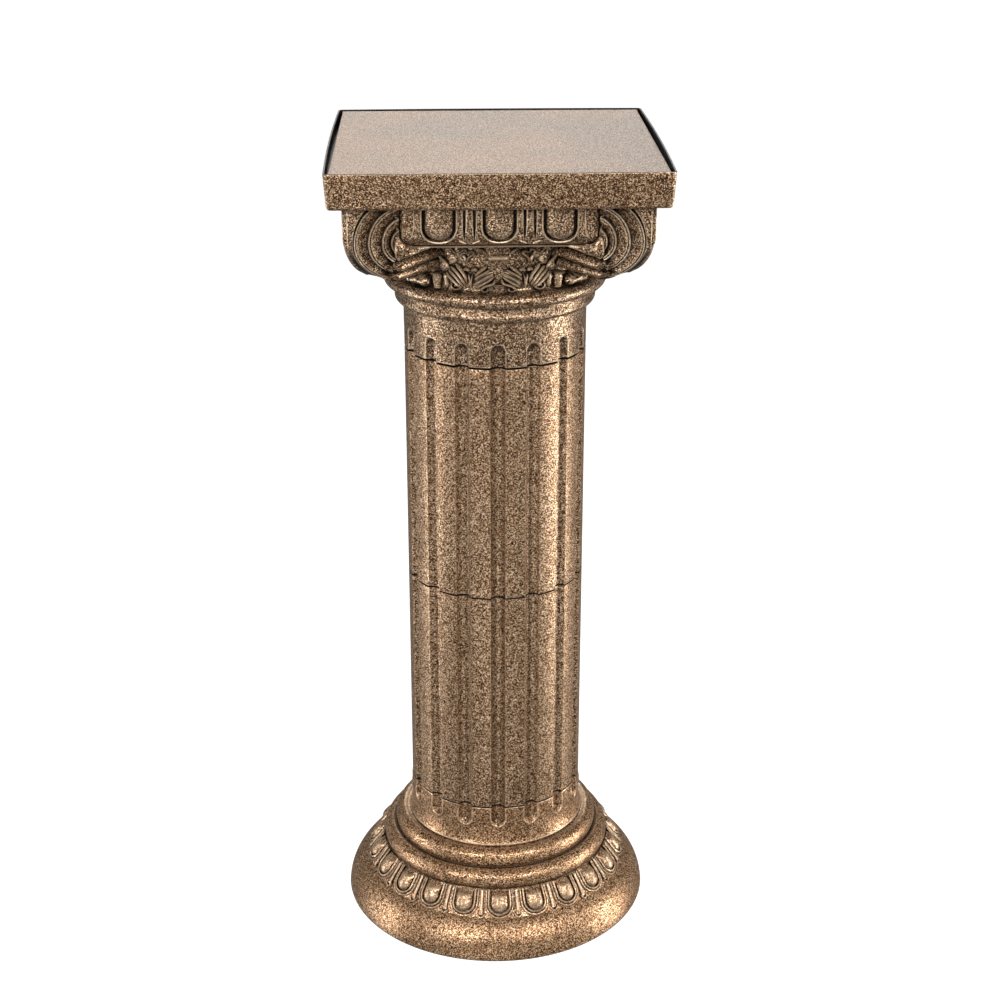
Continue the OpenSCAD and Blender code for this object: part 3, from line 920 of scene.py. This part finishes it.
def lobe_bed(middle, size, lean):
    """The body of a leaf behind its ribs: a low oval cushion, leaning by an angle in degrees."""
    angle = math.radians(lean)
    reach = np.linspace(-0.5, 0.5, 14)[:, None] * size[0]
    path = np.array(middle) + reach * np.array([-math.cos(angle), math.sin(angle)])
    return loft(path, half_round(16, size[1] / 2, 4.4, 2),
                taper(14, 0.2, 0.2, 0.5), taper(14, 0.3, 0.3, 0.5))


def leaf_trim():
    """All leaf parts on the right half of one side, in the bell's sheet."""
    hooks = [
        rib([(43.2, 803.6), (38.2, 806.6), (33.6, 809.0), (32.2, 805.6)], 1.25, 6.4),
        rib([(31.8, 805.6), (27.0, 807.4), (24.6, 805.6), (29.6, 801.0), (31.8, 795.4)], 1.35, 7.2),
        rib([(36.4, 803.2), (33.8, 799.6), (34.4, 796.4)], 1.9, 5.0),
        rib([(20.2, 810.2), (15.6, 808.6), (10.8, 803.6)], 1.25, 6.0),
        rib([(50.4, 811.0), (47.0, 807.4), (43.8, 803.8)], 1.2, 6.0),
        rib([(60.8, 811.4), (55.2, 806.8), (51.2, 811.2)], 1.1, 5.8),
    ]
    bars = [rib([(20.6, 787.6), (24.0, 789.2), (27.4, 787.4)], 1.7, 8.6),
            rib([(29.0, 787.4), (32.0, 789.2), (35.4, 787.8)], 1.7, 8.6),
            rib([(30.4, 783.0), (29.0, 777.0), (28.2, 770.0)], 1.3, 5.2),
            rib([(26.2, 783.0), (27.4, 777.0), (27.8, 770.0)], 1.1, 5.0)]
    broad = [
        rib([(67.8, 809.0), (61.3, 800.2), (53.5, 793.2), (50.0, 787.0)], 1.5, 7.6),
        rib([(56.0, 812.0), (53.0, 803.0), (49.0, 797.0), (46.0, 792.0)], 5.6, 4.6),
        rib([(66.0, 806.0), (63.0, 797.0), (58.0, 790.0), (54.0, 786.0)], 6.0, 4.2),
        rib([(44.0, 814.0), (43.0, 806.0), (41.0, 798.0)], 5.0, 2.8),
    ]
    bud = [
        loft(np.array([[65.0, 766.0], [65.0, 771.0], [65.0, 776.5], [65.0, 780.0]]),
             half_round(18, 5.2, 8.0, 2, 1.4), [0.72, 0.86, 1.0, 0.96], [0.8, 0.9, 1.0, 0.9]),
        loft(line((59.8, 781.4), (70.6, 781.4), 10), half_round(12, 1.5, 10.2, 2, 1.3),
             taper(10, 0.5, 0.5, 0.2)),
        rib([(57.6, 781.0), (55.0, 775.0), (54.6, 768.0)], 3.0, 4.0),
    ]
    boss = rib([(73.0, 770.6), (80.0, 771.4), (87.0, 773.0), (94.0, 776.6)], 6.2, 13.0)
    zigzag = rib([(76.4, 778.0), (80.2, 773.6), (84.4, 776.2), (88.6, 776.2), (92.4, 780.0)], 1.1, 16.6)
    return [*inner_lobe(), *outer_lobe(), *hooks, *bars, *broad, *bud, boss, zigzag]


def leaf_middle():
    """The pointed leaf in the middle of a side, the capsule above it and the bar below it."""
    shield = loft(np.array([[0, 787.0], [0, 791.0], [0, 796.0], [0, 802.0], [0, 810.0], [0, 816.0]]),
                  half_round(28, 15.0, 3.6, 2, 1.6), [0.08, 0.32, 0.6, 0.85, 1.0, 1.0],
                  [0.7, 0.9, 1, 1, 1, 1])
    capsule = loft(line((-11.0, 801.8), (11.9, 801.8), 24), half_round(rib_columns, 3.3, 9.4, 2),
                   taper(24, 0.3, 0.3, 0.2), taper(24, 0.5, 0.5, 0.2))
    bar = loft(line((-6.0, 772.4), (6.6, 772.4), 12), half_round(12, 1.1, 4.5, 2), taper(12, 0.5, 0.5, 0.3))
    return [shield, capsule, bar]


def leaves_piece():
    """The leaves round the bell: the same on each of the four sides, each side mirrored in itself."""
    body = Moulding("capital_leaves")
    trim = leaf_trim()
    parts = [on_bell(part) for part in trim] + [on_bell(part * [-1, 1, 1]) for part in trim]
    parts += [on_bell(part) for part in leaf_middle()]
    # a thin rib gets a painted highlight along its top and painted shade along its foot
    rib_light_and_shade = outline(rib_columns, 0.8, painted_highlight=0.35)
    for turn in sides:
        for part in parts:
            thin = part.shape[1] == rib_columns
            body.add(turned(part, turn), tone=rib_light_and_shade if thin else 0.0)
    return body


# ---------------- tray and panel

tray_half = 170.0
side_bow = tray_bow_half - tray_half
tray_corner_r = 5.0
tray_edge_r = 5.0
tray_draft = 2.4
tray_floor_t = 3.0
rim_t = 2.0
rim_gap = 3.4
rim_d = 14.0
ledge_w = 12.0


def bowed_square(half, corner, bow, count=28):
    """A square ring [n, 2] whose sides bow outwards by a parabola and whose corners are round."""
    t = np.linspace(-1, 1, count) * (half - corner)
    side = np.stack([half + bow * (1 - (t / half) ** 2), t], -1)
    start = bow * (1 - ((half - corner) / half) ** 2)
    turn = np.radians(np.linspace(0, 90, 7))[1:-1]
    bend = np.stack([half - corner + (corner + start) * np.cos(turn),
                     half - corner + (corner + start) * np.sin(turn)], -1)
    quarter = np.concatenate([side, bend])
    rings = []
    for i in range(4):
        c, s = math.cos(i * math.pi / 2), math.sin(i * math.pi / 2)
        rings.append(quarter @ np.array([[c, s], [-s, c]]))
    return np.concatenate(rings)


def square_rows(rows):
    """Stacks bowed rings, each given as (inset from the tray's side, z, bow), into a grid."""
    made = []
    for inset, z, bow in rows:
        ring = bowed_square(tray_half - inset, max(tray_corner_r - min(inset, 4.0), 0.8), bow)
        made.append(np.concatenate([ring, np.full((len(ring), 1), z)], 1))
    return np.stack(made)


def tray_piece():
    """The tray: underside, rounded lower edge, drafted sides, thin rim, deep gap and inner ledge."""
    top = column_h
    floor_z = tray_z + tray_floor_t
    inside_r = rim_t + ledge_w
    edge = []
    for turn in np.radians(np.linspace(0, 90, 8)):
        inset = tray_draft * (1 - tray_edge_r / (column_h - tray_z))
        edge.append((inset + tray_edge_r * (1 - math.sin(turn)),
                     tray_z + tray_edge_r * (1 - math.cos(turn)), side_bow * 0.8))
    rows = [(120.0, tray_z, 0.0), (60.0, tray_z, 0.0), (20.0, tray_z, side_bow * 0.4)]
    rows += edge
    rows += [(tray_draft * (1 - f) * 0.86, tray_z + 5 + 30.6 * f, side_bow * (0.8 + 0.2 * f))
             for f in (0.25, 0.5, 0.75, 1.0)]
    rows += [(0.15, top - 0.3, side_bow)]
    # from the rim's crown inwards the tray is drawn dark: painted shade on the rim and in the deep gap
    # behind it
    inner = [(0.5, top, side_bow), (rim_t - 0.5, top, side_bow), (rim_t - 0.1, top - 0.4, side_bow),
             (rim_t, top - 6, side_bow), (rim_t, top - rim_d, side_bow),
             (rim_t + rim_gap, top - rim_d, side_bow), (rim_t + rim_gap + 0.1, panel_low, side_bow * 0.5),
             (inside_r, panel_low, 0.0), (inside_r, floor_z, 0.0), (60.0, floor_z, 0.0),
             (120.0, floor_z, 0.0)]
    rim_gap_shade = np.where(np.arange(len(rows + inner)) >= len(rows), dark, 0.0)[:, None]
    body = Moulding("tray_shell")
    body.add(square_rows(rows + inner), tone=rim_gap_shade)
    return body


def panel_piece():
    """The loose top panel: a thin square plate with softened edges."""
    half_gap = tray_half - panel_half
    soft = 0.7
    edge = [(2.0, panel_low), (0.1, panel_low + 0.4), (0.0, panel_low + 1), (0.0, panel_top - soft),
            (soft * 0.3, panel_top - soft * 0.3), (soft, panel_top)]
    edge += [(inset, panel_top) for inset in (4.0, 20.0, 50.0, 90.0, 130.0, 160.0)]
    rows = [(110.0, panel_low, 0.0)] + [(half_gap + inset, z, 0.0) for inset, z in edge]
    body = Moulding("tan_panel")
    body.add(square_rows(rows))
    return body


# ---------------- shader maths

class Value:
    """A number or colour on a node's socket. + - and * on numbers add Math nodes."""

    def __init__(self, finish, socket):
        self.finish = finish
        self.socket = socket

    def math(self, operation, first, second):
        return self.finish.node("ShaderNodeMath", {"operation": operation}, {0: first, 1: second})

    def __add__(self, other):
        return self.math("ADD", self, other)

    __radd__ = __add__

    def __sub__(self, other):
        return self.math("SUBTRACT", self, other)

    def __rsub__(self, other):
        return self.math("SUBTRACT", other, self)

    def __mul__(self, other):
        return self.math("MULTIPLY", self, other)

    __rmul__ = __mul__


class Finish:
    """A material whose nodes are added by one method and whose surface is one Principled shader."""

    def __init__(self, name, **constants):
        self.material = bpy.data.materials.new(name)
        self.material.use_nodes = True
        self.tree = self.material.node_tree
        self.shader = self.tree.nodes["Principled BSDF"]
        for socket, value in constants.items():
            self.shader.inputs[socket.replace("_", " ")].default_value = value
        self.place = self.node("ShaderNodeTexCoord", output="Object")

    def node(self, kind, settings=None, inputs=None, output=0):
        """Adds a node: settings first, then values or links for its sockets; returns one output."""
        made = self.tree.nodes.new(kind)
        for key, value in (settings or {}).items():
            if key == "stops":
                set_stops(made.color_ramp, value)
            else:
                setattr(made, key, value)
        for key, value in (inputs or {}).items():
            if isinstance(value, Value):
                self.tree.links.new(value.socket, made.inputs[key])
            else:
                made.inputs[key].default_value = value
        return Value(self, made.outputs[output])

    def noise(self, scale, detail=2.0, rough=0.5):
        """Noise on Object coordinates, from 0 to 1; scale is in features per metre."""
        return self.node("ShaderNodeTexNoise", None,
                         {"Vector": self.place, "Scale": scale, "Detail": detail, "Roughness": rough})

    def ramp(self, value, stops):
        """A colour ramp with the given (place, colour) stops."""
        return self.node("ShaderNodeValToRGB", {"stops": stops}, {0: value})

    def rise(self, value, start, end):
        """0 below start, 1 above end, smooth between them."""
        return self.node("ShaderNodeMapRange", {"interpolation_type": "SMOOTHSTEP"},
                         {"Value": value, "From Min": start, "From Max": end})

    def mix(self, share, first, second):
        """Mixes two colours by a share."""
        return self.node("ShaderNodeMix", {"data_type": "RGBA"}, {0: share, 6: first, 7: second}, output=2)

    def surface(self, **links):
        """Links values to the shader's sockets."""
        for socket, value in links.items():
            self.tree.links.new(value.socket, self.shader.inputs[socket.replace("_", " ")])


def set_stops(color_ramp, stops):
    """Writes (place, colour) stops into a ramp."""
    while len(color_ramp.elements) < len(stops):
        color_ramp.elements.new(0.5)
    for element, (place, colour) in zip(color_ramp.elements, stops):
        element.position = place
        element.color = colour


def linear(red, green, blue):
    """A colour given as 0 to 255 on a screen, as the linear values that shaders want."""
    share = np.array([red, green, blue]) / 255
    value = np.where(share > 0.0392, ((share + 0.055) / 1.055) ** 2.4, share / 12.92)
    return (*value, 1.0)


# the bronze's patterns, in features per metre
grain_scale = 820.0
fleck_scale = 980.0
fleck_share = 0.32
cloud_scale = 24.0
# how far away a wall still casts painted shade into a recess, in metres
recess_reach = 0.009
cloud_brown = linear(96, 70, 48)
# colours of the painted shade in recesses and creases, and of the painted highlights on edges
recess_shade_brown = linear(22, 12, 7)
crease_shade_brown = linear(12, 6, 3)
highlight_gold = linear(244, 220, 190)


def bronze(name, warmth=0.0, light=1.0, edge_highlight=0.5, depth=0.85):
    """Granular bronze paint: dark and light flecks on brown, with painted highlights on edges and
    painted shade in creases and recesses.

    warmth takes green and blue away, the edge share is how light the painted highlights are, and
    depth how dark the painted shade in recesses is.
    """
    f = Finish(name, Metallic=0.72)
    grain = f.noise(grain_scale, 2.0, 0.6)
    cloud = f.noise(cloud_scale, 3.0, 0.55)
    flecks = f.node("ShaderNodeTexVoronoi", {"feature": "F1"}, {"Vector": f.place, "Scale": fleck_scale},
                    output="Color")
    fleck = f.node("ShaderNodeSeparateColor", None, {0: flecks}, output=0)
    # curvature plus painted tones: below zero becomes painted crease shade, above zero painted edge
    # highlights
    edge = f.node("ShaderNodeAttribute", {"attribute_name": "edge"}, output="Fac")
    tone = grain * (1 - fleck_share) + fleck * fleck_share
    body = f.ramp(tone, (
        (0.35, linear(20 * light, 10 * light, 5 * light)),
        (0.45, linear(98 * light, (68 - warmth) * light, (40 - warmth) * light)),
        (0.56, linear(176 * light, (136 - warmth) * light, (98 - 2 * warmth) * light)),
        (0.67, linear(254, 228 - warmth, 196 - 2 * warmth)),
    ))
    body = f.mix(f.rise(cloud, 0.35, 0.7) * 0.16, body, cloud_brown)
    # ambient occlusion paints shade into recesses near walls
    recess = f.node("ShaderNodeAmbientOcclusion", {"samples": 6}, {"Distance": recess_reach}, output="AO")
    # painted shade in creases, where the edge attribute is below zero
    hollow = f.rise(edge * -1.0, 0.05, 0.45) * 0.95
    shade = f.rise(recess, 0.8, 0.25) * depth
    body = f.mix(shade, body, recess_shade_brown)
    body = f.mix(hollow, body, crease_shade_brown)
    # painted highlight on edges that stand out
    painted_highlight = f.rise(edge, 0.12, 0.6) * edge_highlight
    body = f.mix(painted_highlight, body, highlight_gold)
    rough = 0.44 - fleck * 0.14
    bump = f.node("ShaderNodeBump", None, {"Strength": 0.6, "Distance": 0.0005, "Height": tone},
                  output="Normal")
    f.surface(Base_Color=body, Roughness=rough, Normal=bump)
    return f.material


# the tan plate's colours, and its grain in features per metre
plate_grey = linear(180, 162, 145)
plate_rose = linear(214, 178, 150)
plate_dark_grain = linear(112, 88, 68)
plate_light_grain = linear(255, 232, 206)
plate_grain_scale = 760.0


def tan_plate(name):
    """Satin tan plate with a fine grain and soft, cloudy patches of grey and rose."""
    f = Finish(name, Metallic=0.25)
    grain = f.noise(plate_grain_scale, 2.0, 0.7)
    cloud = f.noise(5.0, 2.0, 0.5)
    body = f.mix(f.rise(cloud, 0.38, 0.62), plate_grey, plate_rose)
    body = f.mix(f.rise(grain, 0.38, 0.56), plate_dark_grain, body)
    body = f.mix(f.rise(grain, 0.5, 0.64) * 0.8, body, plate_light_grain)
    bump = f.node("ShaderNodeBump", None, {"Strength": 0.4, "Distance": 0.0004, "Height": grain},
                  output="Normal")
    f.surface(Base_Color=body, Roughness=0.44 + grain * 0.16, Normal=bump)
    return f.material


# ---------------- the pieces

# one bronze paint in four lit and shaded copies: light makes the base's and shaft's copies lighter and the
# capital's and tray's darker, and each copy's edge share and depth set its painted highlight and recess
# shade
bronze_base = bronze("bronze_base", warmth=4, light=1.1, edge_highlight=0.4)
bronze_shaft = bronze("bronze_shaft", light=1.04, edge_highlight=0.12, depth=0.75)
bronze_capital = bronze("bronze_capital", warmth=2, light=0.8, edge_highlight=0.5, depth=0.95)
bronze_tray = bronze("bronze_tray", warmth=5, light=0.83, edge_highlight=0.3)
panel_tan = tan_plate("panel_tan")

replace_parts(base_piece().finish(bronze_base, "bronze_base"), "base")
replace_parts(shaft("fluted_shaft_lower", seam_base, seam_shaft, seam_gap, seam_gap)
            .finish(bronze_shaft, "bronze_shaft"), "shaft_lower")
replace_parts(shaft("fluted_shaft_upper", seam_shaft, seam_capital, seam_gap, neck_seam_gap)
            .finish(bronze_shaft, "bronze_shaft"), "shaft_upper")
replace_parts(neck_piece().finish(bronze_capital, "bronze_capital"), "capital")
echinus_piece().finish(bronze_capital, "bronze_capital")
volutes_piece().finish(bronze_capital, "bronze_capital")
leaves_piece().finish(bronze_capital, "bronze_capital")
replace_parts(tray_piece().finish(bronze_tray, "bronze_tray"), "tray")
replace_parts(panel_piece().finish(panel_tan, "panel_tan"), "top_panel")


# ---------------- stage, light and camera

def floor_sheet():
    """A wide pale floor, bright enough by itself to read as an even studio sweep."""
    half = 30.0
    corners = [(-half, -half, 0), (half, -half, 0), (half, half, 0), (-half, half, 0)]
    mesh = bpy.data.meshes.new("floor")
    mesh.from_pydata(corners, [], [(0, 1, 2, 3)])
    f = Finish("pale_floor", Roughness=0.9)
    f.shader.inputs["Base Color"].default_value = (0.3, 0.3, 0.3, 1)
    f.shader.inputs["Emission Color"].default_value = (1, 1, 1, 1)
    f.shader.inputs["Emission Strength"].default_value = 0.98
    mesh.materials.append(f.material)
    sheet = bpy.data.objects.new("floor", mesh)
    sheet.visible_glossy = False
    sheet.visible_diffuse = False
    sheet.visible_shadow = False
    bpy.context.scene.collection.objects.link(sheet)


def softbox(name, place, target, size, power, tint):
    """A flat, oblong light at place, in metres, that faces target and can't be seen itself."""
    data = bpy.data.lights.new(name, "AREA")
    data.shape = "RECTANGLE"
    data.size, data.size_y = size
    data.energy = power
    data.color = tint
    light = bpy.data.objects.new(name, data)
    light.location = place
    away = light.location - type(light.location)(target)
    light.rotation_euler = away.to_track_quat("Z", "Y").to_euler()
    light.visible_camera = False
    bpy.context.scene.collection.objects.link(light)


# how bright the surround is as light
surround_light = 0.16


def studio_world():
    """A dim, even surround that looks white by itself."""
    world = bpy.data.worlds.new("studio")
    world.use_nodes = True
    surround = world.node_tree.nodes["Background"]
    surround.inputs["Color"].default_value = (1, 1, 1, 1)
    path = world.node_tree.nodes.new("ShaderNodeLightPath")
    strength = world.node_tree.nodes.new("ShaderNodeMapRange")
    strength.inputs["To Min"].default_value = surround_light
    strength.inputs["To Max"].default_value = 1.0
    world.node_tree.links.new(path.outputs["Is Camera Ray"], strength.inputs["Value"])
    world.node_tree.links.new(strength.outputs["Result"], surround.inputs["Strength"])
    bpy.context.scene.world = world


lens_mm = 67.15
sensor_mm = 36.0
eye_place = (-0.0611, -1.9369, 1.2814)
# degrees that the camera looks down, and turns about the upright
eye_down = 22.106
eye_turn = -1.968


def camera():
    """The camera, in front and above, looking down at the column."""
    data = bpy.data.cameras.new("camera")
    data.lens = lens_mm
    data.sensor_width = sensor_mm
    data.clip_end = 100
    eye = bpy.data.objects.new("camera", data)
    eye.location = eye_place
    eye.rotation_euler = (math.radians(90 - eye_down), 0, math.radians(eye_turn))
    bpy.context.scene.collection.objects.link(eye)
    bpy.context.scene.camera = eye


floor_sheet()
studio_world()
white = (1.0, 1.0, 1.0)
warm = (1.0, 0.98, 0.96)
foot_aim = (0.0, 0.0, 0.3)
shaft_aim = (0.0, 0.0, 0.35)
wide = (1.1, 0.7)
tall = (0.6, 1.7)
# name, place, aim and size in metres, power in watts, tint
softboxes = (
    ("top_left_softbox", (-0.9, -1.8, 1.6), foot_aim, wide, 24, warm),
    ("top_right_softbox", (1.0, -1.7, 1.6), foot_aim, wide, 28, warm),
    ("right_softbox", (2.0, -0.1, 0.2), shaft_aim, tall, 33, (1.0, 0.98, 0.95)),
    ("left_softbox", (-2.0, -0.1, 0.2), shaft_aim, tall, 19, white),
    ("near_left_softbox", (-0.8, -1.2, 0.8), (-0.15, 0.0, 0.85), (0.3, 0.3), 3.4, white),
    ("low_front_softbox", (-0.1, -1.5, -0.3), foot_aim, (1.2, 0.4), 2.5, white),
    ("back_softbox", (0.0, 2.2, 1.8), (0.0, 0.0, 0.5), (1.6, 1.2), 17, white),
)
for box in softboxes:
    softbox(*box)
camera()
bpy.context.scene.view_settings.view_transform = "Standard"
